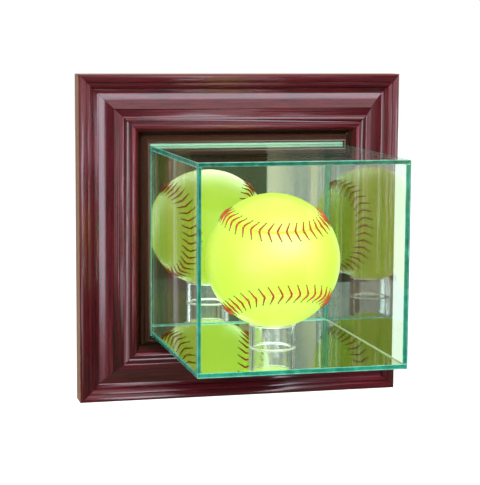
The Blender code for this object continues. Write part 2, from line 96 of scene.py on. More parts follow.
camera_data = bpy.data.cameras.new("catalogue_camera")
camera_data.sensor_width = SENSOR_WIDTH
camera_data.lens = LENS
camera = put_in_scene("catalogue_camera", camera_data)
camera.matrix_world = (
    Matrix.Translation(CAMERA_PLACE)
    @ Matrix.Rotation(-CAMERA_YAW, 4, "Z")
    @ Matrix.Rotation(math.pi / 2 + CAMERA_PITCH, 4, "X")
    @ Matrix.Rotation(CAMERA_ROLL, 4, "Z")
)
bpy.context.scene.camera = camera
bpy.context.scene.view_settings.view_transform = "Standard"

# The frame's rails
# Four mitred rails of one milled hardwood moulding, stained cherry and sprayed with semi-gloss
# lacquer. Painted shade darkens the grooves and a painted highlight reddens the beads. The stain
# is only wiped on the outer sides, and left off the back.
STAIN_DARK = "#44141a"
STAIN_RED = "#7e2230"
# painted light: a highlight on the beads and, below, shade in the grooves
BEAD_PAINTED_HIGHLIGHT = "#8e2c3c"
GROOVE_PAINTED_SHADE = "#0b0504"
STAIN_SIGHT = "#5e4532"  # brown-olive, where the rag leaves the stain at the sight edge
PORE = "#120606"
WIPED_SIDE = "#b87a42"
WIPED_SHADE = "#8a5428"
RAW_BACK = "#b08358"
FIGURE_LENGTH = 24.0 * MM
FIGURE_WIDTH = 1.6 * MM
PORE_LENGTH = 3.5 * MM
PORE_WIDTH = 0.6 * MM  # real pores are a third of this, too fine for the render
WIPE_STREAK = 4.5714 * MM
WOOD_NAP = 0.1 * MM
SPRAY_GRAIN = 0.9 * MM
SPRAY_DEPTH = 0.03 * MM
GROOVE_SPAN = 6.0 * MM
MOULDING_WIDTH = 51.0 * MM
SIGHT_BAND = (0.80, 0.88)  # shares of the width, from the outer edge
CREST_FILLET = (0.629, 0.712)  # the same shares: its outer corner and the quirk behind it
CREST_CORNER = 0.006  # how much of the width before the corner moves with it
CREST_EASE = 0.9 * MM
FACE_Y = -0.02  # the moulding's face lies in front of this
SKIN = 0.2 * MM  # faces this near to the frame's outer sides are those sides
BACKWARD = 0.9  # a face whose normal's y is above this looks to the wall
RAIL_ARRIS = 28  # degrees; an edge that turns more is sharp
SAME_SPOT = 0.001 * MM  # vertices nearer than this are one
RAILS = {"top": 0, "right": 2, "bottom": 0, "left": 2}  # the axis that the rail's grain follows


def paint(code):
    """An sRGB hex colour as the linear colour that Blender's sockets take."""
    shares = [int(code[start : start + 2], 16) / 255 for start in (1, 3, 5)]
    linear = [s / 12.92 if s <= 0.04045 else ((s + 0.055) / 1.055) ** 2.4 for s in shares]
    return (*linear, 1.0)


def add(tree, kind, settings=None, links=None):
    """Adds a node with its settings, given by attribute or socket, and links into its sockets."""
    node = tree.nodes.new(kind)
    for key, value in (settings or {}).items():
        if isinstance(key, str) and hasattr(node, key):
            setattr(node, key, value)
        else:
            node.inputs[key].default_value = value
    for key, socket in (links or {}).items():
        tree.links.new(socket, node.inputs[key])
    return node


def new_finish(name, surface):
    """A material with the plain values of its surface.

    Returns also its tree, its Principled shader and the place on the object, in metres.
    """
    material = bpy.data.materials.new(name)
    material.use_nodes = True
    tree = material.node_tree
    shader = tree.nodes["Principled BSDF"]
    for key, value in surface.items():
        shader.inputs[key].default_value = value
    place = add(tree, "ShaderNodeTexCoord").outputs["Object"]
    return material, tree, shader, place


def toned(tree, shader, pattern, tones, span=(0.0, 1.0), most=1.0):
    """Takes the surface from the first tone to the second while the pattern crosses its span.

    The first tone may be what an earlier call returned. The second one's share is at most `most`.
    """
    share = add(
        tree,
        "ShaderNodeMapRange",
        {"From Min": span[0], "From Max": span[1], "To Max": most},
        {"Value": pattern},
    )
    mix = add(
        tree, "ShaderNodeMix", {"data_type": "RGBA", 7: paint(tones[1])}, {0: share.outputs[0]}
    )
    if isinstance(tones[0], str):
        mix.inputs[6].default_value = paint(tones[0])
    else:
        tree.links.new(tones[0], mix.inputs[6])
    tree.links.new(mix.outputs[2], shader.inputs["Base Color"])
    return mix.outputs[2]


def mottled(name, tones, grain, surface, span=(0.0, 1.0), relief=None):
    """A material whose noise sets its tone, and its bump where relief is (strength, depth)."""
    material, tree, shader, place = new_finish(name, surface)
    cloud = add(tree, "ShaderNodeTexNoise", grain, {"Vector": place}).outputs["Fac"]
    toned(tree, shader, cloud, tones, span)
    if relief:
        strength, depth = relief
        bump = add(
            tree, "ShaderNodeBump", {"Strength": strength, "Distance": depth}, {"Height": cloud}
        )
        tree.links.new(bump.outputs[0], shader.inputs["Normal"])
    return material


def lacquered_cherry(name, grain_axis):
    """Stained wood under clear lacquer: long red figure, short dark pores, a sprayed speckle."""
    material, tree, shader, place = new_finish(
        name,
        {
            "Roughness": 0.42,
            "Specular IOR Level": 0.1,
            "Coat Weight": 1.0,
            "Coat Roughness": 0.14,
            "Coat IOR": 1.62,
        },
    )
    pattern = {}
    for label, length, width, detail in (
        ("figure", FIGURE_LENGTH, FIGURE_WIDTH, {"Detail": 4.0, "Roughness": 0.65}),
        ("pores", PORE_LENGTH, PORE_WIDTH, {"Detail": 1.0}),
    ):
        size = [1 / width] * 3
        size[grain_axis] = 1 / length
        drawn = add(tree, "ShaderNodeMapping", {"Scale": size}, {"Vector": place})
        noise = add(
            tree, "ShaderNodeTexNoise", {"Scale": 1.0, **detail}, {"Vector": drawn.outputs[0]}
        )
        pattern[label] = noise.outputs["Fac"]
    for label in ("relief", "inward"):
        stored = add(tree, "ShaderNodeAttribute", {"attribute_name": label})
        pattern[label] = stored.outputs["Fac"]
    wood = STAIN_DARK
    # The relief share paints a highlight on the beads and shade in the grooves.
    for label, stain, span, most in (
        ("figure", STAIN_RED, (0.32, 0.72), 1.0),
        ("relief", BEAD_PAINTED_HIGHLIGHT, (0.55, 1.0), 1.0),
        ("inward", STAIN_SIGHT, SIGHT_BAND, 0.85),
        ("relief", GROOVE_PAINTED_SHADE, (0.45, 0.0), 0.6),
        ("pores", PORE, (0.60, 0.72), 0.45),
    ):
        wood = toned(tree, shader, pattern[label], (wood, stain), span, most)
    spray = add(
        tree, "ShaderNodeTexNoise", {"Scale": 1 / SPRAY_GRAIN, "Detail": 2.0}, {"Vector": place}
    )
    skin = add(
        tree,
        "ShaderNodeBump",
        {"Strength": 0.6, "Distance": SPRAY_DEPTH},
        {"Height": spray.outputs["Fac"]},
    )
    tree.links.new(skin.outputs[0], shader.inputs["Normal"])
    tree.links.new(skin.outputs[0], shader.inputs["Coat Normal"])
    return material


def smooth_copy(node, name, sharp_degrees, materials):
    """A merged copy of a CAD node's mesh with its finishes, smooth but for its sharp edges."""
    bm = bmesh.new()
    bm.from_mesh(frame["nodes"][node].data)
    bmesh.ops.remove_doubles(bm, verts=bm.verts, dist=SAME_SPOT)
    mesh = bpy.data.meshes.new(name)
    bm.to_mesh(mesh)
    bm.free()
    mesh.materials.clear()
    for material in materials:
        mesh.materials.append(material)
    mesh.shade_smooth()
    mesh.set_sharp_from_angle(angle=math.radians(sharp_degrees))
    return put_in_scene(name, mesh)


def mark_relief(mesh, across):
    """Eases the crest's outer corner and stores two shares for the stain and the painted light.

    relief is 1 on a bead, 0 in a groove and 0.5 on a flat, and sets painted shade in the grooves
    and a painted highlight on the beads; inward runs from 0 at the outer edge to 1 at the sight
    edge.
    """
    corner, quirk = CREST_FILLET
    bm = bmesh.new()
    bm.from_mesh(mesh)
    relief = bm.verts.layers.float.new("relief")
    inward = bm.verts.layers.float.new("inward")
    for vertex in bm.verts:
        place = vertex.co[across]
        share = min(place - frame_low[across], frame_high[across] - place) / MOULDING_WIDTH
        vertex[inward] = share
        if corner - CREST_CORNER < share < quirk and vertex.co.y < FACE_Y:
            vertex.co.y += CREST_EASE * min(1.0, (quirk - share) / (quirk - corner))
    bm.normal_update()
    for vertex in bm.verts:
        rise = 0.0
        for edge in vertex.link_edges:
            offset = edge.other_vert(vertex).co - vertex.co
            if offset.length < GROOVE_SPAN:
                rise -= offset.normalized().dot(vertex.normal)
        vertex[relief] = min(1.0, max(0.0, 0.5 + 0.5 * rise))
    bm.to_mesh(mesh)
    bm.free()


# Milled hardwood, matt, with soft streaks: wiped with stain on the outer sides, bare on the back
wiped_side, raw_back = (
    mottled(
        name,
        tones,
        {"Scale": 1 / WIPE_STREAK, "Detail": 5.0},
        {"Roughness": roughness},
        relief=(0.5, WOOD_NAP),
    )
    for name, tones, roughness in (
        ("wiped_hardwood", (WIPED_SIDE, WIPED_SHADE), 0.6),
        ("raw_hardwood", (RAW_BACK, WIPED_SIDE), 0.75),
    )
)
frame_low, frame_high = cad_box
for side, axis in RAILS.items():
    finishes = (lacquered_cherry(f"lacquered_cherry_{side}", axis), wiped_side, raw_back)
    rail = smooth_copy(f"frame_rail_{side}", f"moulding_{side}", RAIL_ARRIS, finishes)
    across = 2 - axis
    mark_relief(rail.data, across)
    for face in rail.data.polygons:
        place = face.center[across]
        if face.normal.y > BACKWARD:
            face.material_index = finishes.index(raw_back)
        elif min(place - frame_low[across], frame_high[across] - place) < SKIN:
            face.material_index = finishes.index(wiped_side)
    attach(rail, "case")
    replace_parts(rail, f"frame_rail_{side}")

# V-shaped nails
# Folded strips of zinc-plated spring steel, driven into the backs of the mitres to hold the rails
# together. The plating is dull and slightly blue.
ZINC = "#9ea2a3"
ZINC_DULL = "#6f7375"
SPANGLE = 3.0 * MM
SPANGLE_ROUGHNESS = (0.30, 0.50)  # of the bright patches and of the dull ones


def plated_zinc(name):
    """Zinc plating on steel: a soft grey metal whose cloudy patches are dull."""
    material, tree, shader, place = new_finish(name, {"Metallic": 1.0})
    cloud = add(
        tree, "ShaderNodeTexNoise", {"Scale": 1 / SPANGLE, "Detail": 3.0}, {"Vector": place}
    )
    toned(tree, shader, cloud.outputs["Fac"], (ZINC, ZINC_DULL))
    uneven = add(
        tree,
        "ShaderNodeMapRange",
        {"To Min": SPANGLE_ROUGHNESS[0], "To Max": SPANGLE_ROUGHNESS[1]},
        {"Value": cloud.outputs["Fac"]},
    )
    tree.links.new(uneven.outputs[0], shader.inputs["Roughness"])
    return material


def refinish(node, material):
    """Gives a CAD node, whose shape is right, its finish."""
    piece = frame["nodes"][node]
    piece.data.materials.clear()
    piece.data.materials.append(material)


zinc = plated_zinc("zinc_plate")
for node in sorted(frame["nodes"]):
    if node.startswith("v_nail"):
        refinish(node, zinc)

# The glass box
# Four panes of 3 mm float glass, edges ground and polished, joined at their edges with clear
# adhesive. The faces are nearly colourless; the cut edges show the glass's blue-green body.
GLASS_BODY = "#f6fffb"
GLASS_IOR = 1.52
EDGE_DEEP = "#12705c"
EDGE_BRIGHT = "#2fb299"
EDGE_ARRIS = "#a6ead0"
# the cut edges' glow is painted light
EDGE_GLOW = 0.2
EDGE_STREAK = 5.0 * MM
EDGE_CHIP = 1.2 * MM
GRIND_DEPTH = 0.08 * MM
GLUE_PALE = "#c9cfae"
GLUE_CREAM = "#e6e8c8"
EDGE_REFLECTION_MARGIN = 6.0 * MM
SQUARE = 0.99  # a face whose normal has a part above this is square to that axis
DOWNWARD = -0.5  # a face whose normal's z is below this looks down
PANE_ARRIS = 10
FACE, EDGE, ARRIS, GLUED = range(4)  # the finishes of a pane


def clear_solid(name, tint, ior, roughness=0.0, glow=0.0):
    """A clear solid that bends only what the eye sees: lamplight and fill go straight through."""
    material, tree, shader, _ = new_finish(
        name,
        {
            "Base Color": paint(tint),
            "Roughness": roughness,
            "IOR": ior,
            "Transmission Weight": 1.0,
            "Emission Color": paint(tint),
            "Emission Strength": glow,
        },
    )
    # A glow, where one is given, is painted light.
    ray = add(tree, "ShaderNodeLightPath").outputs
    unseen = add(
        tree,
        "ShaderNodeMath",
        {"operation": "MAXIMUM"},
        {0: ray["Is Shadow Ray"], 1: ray["Is Diffuse Ray"]},
    )
    open_air = add(tree, "ShaderNodeBsdfTransparent")
    mix = add(
        tree,
        "ShaderNodeMixShader",
        None,
        {0: unseen.outputs[0], 1: shader.outputs[0], 2: open_air.outputs[0]},
    )
    tree.links.new(mix.outputs[0], tree.nodes["Material Output"].inputs["Surface"])
    return material


def cut_edge(name, deep, bright, glow=EDGE_GLOW):
    """A polished cut edge: the light that the pane carries is painted on in streaks and a glow."""
    material, tree, shader, place = new_finish(
        name, {"Emission Strength": glow, "Roughness": 0.18, "IOR": GLASS_IOR}
    )
    streak = add(
        tree, "ShaderNodeTexNoise", {"Scale": 1 / EDGE_STREAK, "Detail": 5.0}, {"Vector": place}
    )
    body = toned(tree, shader, streak.outputs["Fac"], (deep, bright), (0.28, 0.78))
    tree.links.new(body, shader.inputs["Emission Color"])
    chip = add(
        tree, "ShaderNodeTexNoise", {"Scale": 1 / EDGE_CHIP, "Detail": 2.0}, {"Vector": place}
    )
    grind = add(
        tree,
        "ShaderNodeBump",
        {"Strength": 0.5, "Distance": GRIND_DEPTH},
        {"Height": chip.outputs["Fac"]},
    )
    tree.links.new(grind.outputs[0], shader.inputs["Normal"])
    return material


def pane(node, name, materials):
    """A pane made from its CAD node: faces, cut edges and arrises each with their own finish."""
    piece = smooth_copy(node, name, PANE_ARRIS, materials)
    low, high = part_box(node)
    size = high - low
    thin = min(range(3), key=lambda axis: size[axis])
    for face in piece.data.polygons:
        if abs(face.normal[thin]) > SQUARE:
            face.material_index = FACE
        else:
            straight = max(abs(part) for part in face.normal) > SQUARE
            face.material_index = EDGE if straight else ARRIS
    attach(piece, frame["nodes"][node]["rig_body"])
    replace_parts(piece, node)
    return piece


def light_margins(piece, node, margins):
    """Gives strips of a face near its edges another finish: painted cut edges and their
    reflections.

    Each margin is an axis, a width inwards from the high side, and the finish's number.
    """
    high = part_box(node)[1]
    bm = bmesh.new()
    bm.from_mesh(piece.data)
    for axis, margin, finish in margins:
        normal = Vector((axis == 0, axis == 1, 0))
        bmesh.ops.bisect_plane(
            bm,
            geom=bm.verts[:] + bm.edges[:] + bm.faces[:],
            plane_co=high - margin * normal,
            plane_no=normal,
        )
        for face in bm.faces:
            outside = face.calc_center_median()[axis] > high[axis] - margin
            if face.material_index == FACE and outside:
                face.material_index = finish
    bm.to_mesh(piece.data)
    bm.free()


clear_face = clear_solid("float_glass", GLASS_BODY, GLASS_IOR)
edge_finish = cut_edge("polished_glass_edge", EDGE_DEEP, EDGE_BRIGHT)
# The arrises' pale mint is a painted highlight.
arris_finish = cut_edge("glass_arris", EDGE_BRIGHT, EDGE_ARRIS)
glue = cut_edge("cured_adhesive", GLUE_PALE, GLUE_CREAM)
panes = {
    side: pane(
        f"glass_{side}",
        f"pane_{side}",
        (clear_face, edge_finish, arris_finish, glue),
    )
    for side in ("front", "top", "left", "right")
}
# A painted reflection: the right pane's faces near the back get the cut edge's finish, for its rear
# edge seen in the rear mirror.
light_margins(panes["right"], "glass_right", ((1, EDGE_REFLECTION_MARGIN, EDGE),))
for face in panes["right"].data.polygons:
    if face.normal.z < DOWNWARD:
        face.material_index = GLUED

# Sealant
# A bead of clear silicone, pressed into the slot between the box and the frame's sight edge. It is
# milky where thick, with a painted green glow; the film seen through the panes is clear.
SEALANT_PALE = "#b8e4c2"
SEALANT_FILM = "#eefaf2"
SEALANT_GLOW = 0.1
SEALANT_SPREAD = 0.25 * MM  # the top bead lies this far over the pane
SEALANT_ARRIS = 30
SILICONE_IOR = 1.41
FORWARD = -0.9  # a face whose normal's y is below this looks to the viewer

silicone = mottled(
    "cured_silicone",
    (SEALANT_PALE, EDGE_ARRIS),
    {"Scale": 1 / EDGE_STREAK, "Detail": 2.0},
    {
        "Roughness": 0.25,
        "IOR": SILICONE_IOR,
        "Emission Color": paint(SEALANT_PALE),
        "Emission Strength": SEALANT_GLOW,
    },
)
film = clear_solid("thin_silicone", SEALANT_FILM, SILICONE_IOR, 0.1)
for side, finish in (("top", silicone), ("bottom", film), ("left", film), ("right", film)):
    finishes = (finish, arris_finish)
    strip = smooth_copy(f"sealant_{side}", f"bead_{side}", SEALANT_ARRIS, finishes)
    if side == "top":
        middle = sum(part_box("sealant_top"), Vector()).z / 2
        for vertex in strip.data.vertices:
            if vertex.co.z < middle:
                vertex.co.z -= SEALANT_SPREAD
    # On the left bead, the faces towards the viewer get the glowing arris finish: a painted mint
    # line.
    if side == "left":
        for face in strip.data.polygons:
            face.material_index = int(face.normal.y < FORWARD)
    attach(strip, "case")
    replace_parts(strip, f"sealant_{side}")

# The mirrors
# Silvered 3 mm glass: one is the floor of the box, one stands behind it in the frame's rabbet. The
# silver is sealed at the back with grey-green paint, and the cut edges show.
SILVER = "#dfe6de"
BACK_PAINT = "#5b665f"
BACK_PAINT_DARK = "#3f4a45"
# Painted on the floor mirror's face: a strip of lit cut edge with a painted glow along the back,
# and silicone along the right
REAR_MARGIN = 5.2 * MM
RIGHT_MARGIN = 2.4 * MM
MARGIN_GLOW = 0.6
PAINTED, LIT, SEALED = range(3, 6)  # the mirrors' finishes after face, edge and arris

silver = new_finish(
    "silvered_face", {"Base Color": paint(SILVER), "Metallic": 1.0, "Roughness": 0.0}
)[0]
painted_edge_strip = cut_edge("painted_lit_edge", EDGE_BRIGHT, EDGE_ARRIS, MARGIN_GLOW)
sealing_paint = mottled(
    "mirror_back_paint",
    (BACK_PAINT, BACK_PAINT_DARK),
    {"Scale": 1 / EDGE_STREAK, "Detail": 4.0},
    {"Roughness": 0.6},
)
for node, name, axis, sign in (
    ("mirror_floor", "floor_mirror", 2, 1),
    ("mirror_back", "rear_mirror", 1, -1),
):
    finishes = (silver, edge_finish, arris_finish, sealing_paint, painted_edge_strip, silicone)
    piece = pane(node, name, finishes)
    for face in piece.data.polygons:
        if face.material_index == FACE and face.normal[axis] * sign < 0:
            face.material_index = PAINTED
    # The floor mirror's face gets a painted strip of lit edge, with a painted glow, at the back.
    if node == "mirror_floor":
        light_margins(piece, node, ((1, REAR_MARGIN, LIT), (0, RIGHT_MARGIN, SEALED)))

# Backing board
# A sheet of 3.3 mm tempered hardboard behind the mirror: pressed brown fibre, smooth and slightly
# shiny on the side that shows.
HARDBOARD = "#6a4a30"
HARDBOARD_FIBRE = "#4b3220"
FIBRE = 0.9 * MM
FIBRE_DEPTH = 0.05 * MM

hardboard = mottled(
    "tempered_hardboard",
    (HARDBOARD, HARDBOARD_FIBRE),
    {"Scale": 1 / FIBRE, "Detail": 4.0, "Distortion": 2.0},
    {"Roughness": 0.5},
    relief=(0.3, FIBRE_DEPTH),
)
refinish("backing_board", hardboard)

# Turn buttons
# Four blanked steel buttons with round ends, oil-blackened and worn thin at the rims, that swing
# over the backing board. Each turns on a cross-head screw, whose recess is painted shade: a dark
# inlay.
BLACKENED = "#1d1d20"
WORN_STEEL = "#55565a"
BUTTON_ARRIS = 35
BUTTON_PLACES = ("upper_left", "lower_left", "upper_right", "lower_right")
RECESS_REACH = 1.5 * MM
RECESS_WIDTH = 0.7 * MM
RECESS_PROUD = 0.04 * MM  # the inlay stands this high on the head, where a cut would be


def new_tree(name, sockets):
    """A Geometry Nodes tree with named inputs after its geometry, and what they give."""
    tree = bpy.data.node_groups.new(name, "GeometryNodeTree")
    kinds = [("Geometry", "Geometry", "INPUT")]
    kinds += [(label, kind, "INPUT") for label, kind in sockets.items()]
    kinds += [("Geometry", "Geometry", "OUTPUT")]
    for label, kind, direction in kinds:
        tree.interface.new_socket(label, in_out=direction, socket_type="NodeSocket" + kind)
    return tree, add(tree, "NodeGroupInput").outputs


def close_tree(tree, instances, finish):
    """Makes the instances real, gives them their finish and puts them out."""
    real = add(tree, "GeometryNodeRealizeInstances", None, {"Geometry": instances})
    finished = add(
        tree,
        "GeometryNodeSetMaterial",
        None,
        {"Geometry": real.outputs[0], "Material": finish},
    )
    add(tree, "NodeGroupOutput", None, {"Geometry": finished.outputs[0]})


def made_real(name, carrier, tree, values):
    """Runs a tree with its named values on a carrier and keeps the result as a plain mesh."""
    maker = carrier.modifiers.new(name, "NODES")
    maker.node_group = tree
    for item in tree.interface.items_tree:
        if item.in_out == "INPUT" and item.name in values:
            maker[item.identifier] = values[item.name]
    bpy.context.view_layer.update()
    graph = bpy.context.evaluated_depsgraph_get()
    mesh = bpy.data.meshes.new_from_object(carrier.evaluated_get(graph))
    bpy.data.objects.remove(carrier)
    return put_in_scene(name, mesh)


def recess_tree(name):
    """A tree that sets a cross of two thin bars on each given point."""
    tree, given = new_tree(
        name, {"Long Bar": "Vector", "Cross Bar": "Vector", "Finish": "Material"}
    )
    cross = add(tree, "GeometryNodeJoinGeometry")
    for label in ("Long Bar", "Cross Bar"):
        bar = add(tree, "GeometryNodeMeshCube", None, {"Size": given[label]})
        tree.links.new(bar.outputs["Mesh"], cross.inputs[0])
    placed = add(
        tree,
        "GeometryNodeInstanceOnPoints",
        None,
        {"Points": given["Geometry"], "Instance": cross.outputs[0]},
    )
    close_tree(tree, placed.outputs[0], given["Finish"])
    return tree


# Oil-blackened steel: a near-black metal with grey where it is rubbed
black_steel = mottled(
    "oil_blackened_steel",
    (BLACKENED, WORN_STEEL),
    {"Scale": 1 / SPANGLE, "Detail": 5.0},
    {"Metallic": 0.9, "Roughness": 0.42},
    (0.55, 0.8),
)
heads = []
for place in BUTTON_PLACES:
    button = smooth_copy(f"turn_button_{place}", f"button_{place}", BUTTON_ARRIS, (black_steel,))
    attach(button, f"button_{place}")
    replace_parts(button, f"turn_button_{place}")
    refinish(f"button_screw_{place}", zinc)
    head_low, head_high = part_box(f"button_screw_{place}")
    middle = (head_low + head_high) / 2
    heads.append((middle.x, head_high.y, middle.z))
# The recesses are dark crosses of blackened steel on the zinc heads: painted shade.
head_points = bpy.data.meshes.new("screw_heads")
head_points.from_pydata(heads, [], [])
recess_shade = made_real(
    "painted_recess_shade",
    put_in_scene("screw_heads", head_points),
    recess_tree("cross_recess"),
    {
        "Long Bar": (2 * RECESS_REACH, 2 * RECESS_PROUD, RECESS_WIDTH),
        "Cross Bar": (RECESS_WIDTH, 2 * RECESS_PROUD, 2 * RECESS_REACH),
        "Finish": black_steel,
    },
)
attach(recess_shade, "case")

# Hanger and bumpers
# A stamped sawtooth hanger on two nails at the middle of the top rail, all zinc-plated, and four
# soft moulded rubber bumpers that keep the frame off the wall: black, matt, with a pale bloom.
RUBBER = "#1c1c1c"
RUBBER_BLOOM = "#34332f"

rubber = mottled(
    "bumper_rubber",
    (RUBBER, RUBBER_BLOOM),
    {"Scale": 1 / SPANGLE, "Detail": 3.0},
    {"Roughness": 0.65},
)
refinish("sawtooth_hanger", zinc)
for side in ("left", "right"):
    refinish(f"hanger_nail_{side}", zinc)
    for vertical in ("upper", "lower"):
        refinish(f"wall_bumper_{vertical}_{side}", rubber)

# The ring
# A cut length of clear acrylic tube that stands on the floor and carries the ball. Its walls are
# water-clear, its sawn rims polished but slightly cloudy.
RING_STEPS = 160
RING_WALL = 3.0 * MM
RING_ARRIS = 30
RIM_ROUND = 0.35 * MM
RIM_SLOPE = 0.3  # a face whose normal has more upright than this belongs to a rim
ACRYLIC_IOR = 1.49
WALL_CLEAR = "#fbfdfc"
# The walls and rims glow a little: painted light, cream on the rims.
WALL_GLOW = 0.04
RIM_CLOUD = "#f2efdf"
RIM_GLOW = 0.25

ring_low, ring_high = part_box("ring_stand")
ring_middle = (ring_low + ring_high) / 2
ring_outer = (ring_high.x - ring_low.x) / 2
ring_inner = ring_outer - RING_WALL
section = (
    (ring_inner, ring_low.z + RIM_ROUND),
    (ring_inner + RIM_ROUND, ring_low.z),
    (ring_outer - RIM_ROUND, ring_low.z),
    (ring_outer, ring_low.z + RIM_ROUND),
    (ring_outer, ring_high.z - RIM_ROUND),
    (ring_outer - RIM_ROUND, ring_high.z),
    (ring_inner + RIM_ROUND, ring_high.z),
    (ring_inner, ring_high.z - RIM_ROUND),
)
turns = [math.tau * step / RING_STEPS for step in range(RING_STEPS)]
points = [
    (ring_middle.x + radius * math.cos(turn), ring_middle.y + radius * math.sin(turn), z)
    for turn in turns
    for radius, z in section
]
sides = len(section)
faces = [
    [
        (step + ahead) % RING_STEPS * sides + (side + up) % sides
        for ahead, up in ((0, 0), (1, 0), (1, 1), (0, 1))
    ]
    for step in range(RING_STEPS)
    for side in range(sides)
]
ring_mesh = bpy.data.meshes.new("tube_ring")
ring_mesh.from_pydata(points, [], faces)
ring_mesh.shade_smooth()
ring_mesh.set_sharp_from_angle(angle=math.radians(RING_ARRIS))
for finish in (
    clear_solid("clear_acrylic_wall", WALL_CLEAR, ACRYLIC_IOR, 0.0, WALL_GLOW),
    clear_solid("sawn_acrylic_rim", RIM_CLOUD, ACRYLIC_IOR, 0.35, RIM_GLOW),
):
    ring_mesh.materials.append(finish)
for face in ring_mesh.polygons:
    face.material_index = int(abs(face.normal.z) > RIM_SLOPE)
ring = put_in_scene("tube_ring", ring_mesh)
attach(ring, "case")
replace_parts(ring, "ring_stand")

# The softball's covers
# Two like figure-of-eight pieces of optic yellow leather, cemented to a moulded core and drawn
# together along one seam. Their edges turn in, so that the seam is a narrow valley with a low welt
# on each side.
BALL_TURN = math.radians(1.7)
BALL_TIP = math.radians(-4.8)
BALL_ROLL = math.radians(-0.7)
SEAM_SHARES = (-0.407, 0.788)  # of z and of its cube in the seam's formula
LEATHER = 2.6 * MM
EDGE_GAP = 0.1 * MM
VALLEY_DEPTH = 0.8 * MM
VALLEY_WIDTH = 0.55 * MM
WELT_RISE = 0.22 * MM
WELT_PLACE = 2.2 * MM
WELT_WIDTH = 1.6 * MM
COVER_COLUMNS = 220
COVER_ROWS = 56
COLUMN_SHARES = (0.3, 0.7)  # even and sine spacing, which crowds the mesh towards the seam
ROW_SHARES = (0.4, 0.6)
LEAST_SLOPE = 0.1
HALVINGS = 40
OPTIC_YELLOW = "#dae65c"
OPTIC_GREEN = "#cee04c"
# the glow: the dye's fluorescence, raised with painted light for the shaded side
OPTIC_GLOW = "#caf22c"
FLUORESCENCE_AND_PAINTED_GLOW = 0.75
DYE_PATCH = 18.0 * MM
LEATHER_GRAIN = 0.8 * MM
PEBBLE_DEPTH = 0.06 * MM

core_low, core_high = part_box("softball_core")
front_low, front_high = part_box("softball_cover_front")
rear_low, rear_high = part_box("softball_cover_rear")
ball_middle = (core_low + core_high) / 2
ball_radius = (max(front_high.z, rear_high.z) - min(front_low.z, rear_low.z)) / 2
ball_place = (
    Matrix.Translation(ball_middle)
    @ Matrix.Rotation(BALL_TURN, 4, "Z")
    @ Matrix.Rotation(BALL_TIP, 4, "X")
    @ Matrix.Rotation(BALL_ROLL, 4, "Y")
    @ Matrix.Rotation(math.pi / 2, 4, "X")
)


def seam_level(x, y, z):
    """More than nothing on the front cover and less on the rear one, on a ball of radius 1."""
    return x * x - y * y + SEAM_SHARES[0] * z + SEAM_SHARES[1] * z**3


def halved(inside, outside, holds):
    """The last value on the way from inside to outside that holds, by halving."""
    for _ in range(HALVINGS):
        middle = (inside + outside) / 2
        if holds(middle):
            inside = middle
        else:
            outside = middle
    return inside


def on_ball(along, across):
    return Vector(
        (math.sin(along) * math.cos(across), math.sin(across), math.cos(along) * math.cos(across))
    )


def seam_half_angle(along, level):
    """Half a cover's width at an angle along its middle line."""
    return halved(0.0, math.pi / 2, lambda across: seam_level(*on_ball(along, across)) > level)


def cover_end_angle(level):
    return halved(math.pi / 2, math.pi, lambda along: seam_level(*on_ball(along, 0)) > level)


def leather_radius(spot):
    """The ball's radius at a point of the unit ball: the seam's valley and welts on the round."""
    slope = Vector((2 * spot.x, -2 * spot.y, SEAM_SHARES[0] + 3 * SEAM_SHARES[1] * spot.z**2))
    slope -= slope.dot(spot) * spot
    gap = ball_radius * abs(seam_level(*spot)) / max(slope.length, LEAST_SLOPE)
    valley = VALLEY_DEPTH * math.exp(-((gap / VALLEY_WIDTH) ** 2))
    welt = WELT_RISE * math.exp(-(((gap - WELT_PLACE) / WELT_WIDTH) ** 2))
    return ball_radius - valley + welt


def eased(place, shares):
    even, sine = shares
    return even * place + sine * math.sin(place * math.pi / 2)


def sewn_cover(name, turned, material):
    """One cover in its place on the ball, with the leather's thickness inwards."""
    level = EDGE_GAP / ball_radius
    end = cover_end_angle(level)
    bm = bmesh.new()
    bmesh.ops.create_grid(bm, x_segments=COVER_COLUMNS, y_segments=COVER_ROWS, size=1.0)
    half_angles = {}
    for vertex in bm.verts:
        along = round(end * eased(vertex.co.x, COLUMN_SHARES), 9)
        if along not in half_angles:
            half_angles[along] = seam_half_angle(along, level)
        spot = on_ball(along, eased(vertex.co.y, ROW_SHARES) * half_angles[along])
        vertex.co = spot * leather_radius(spot)
    bmesh.ops.remove_doubles(bm, verts=bm.verts, dist=SAME_SPOT)
    bmesh.ops.recalc_face_normals(bm, faces=bm.faces)
    if sum(face.normal.dot(face.calc_center_median()) for face in bm.faces) < 0:
        bmesh.ops.reverse_faces(bm, faces=bm.faces)
    mesh = bpy.data.meshes.new(name)
    bm.to_mesh(mesh)
    bm.free()
    mesh.transform(ball_place @ turned)
    mesh.materials.append(material)
    mesh.shade_smooth()
    cover = put_in_scene(name, mesh)
    skin = cover.modifiers.new("leather", "SOLIDIFY")
    skin.thickness = LEATHER
    skin.offset = -1.0
    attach(cover, "ball")
    return cover


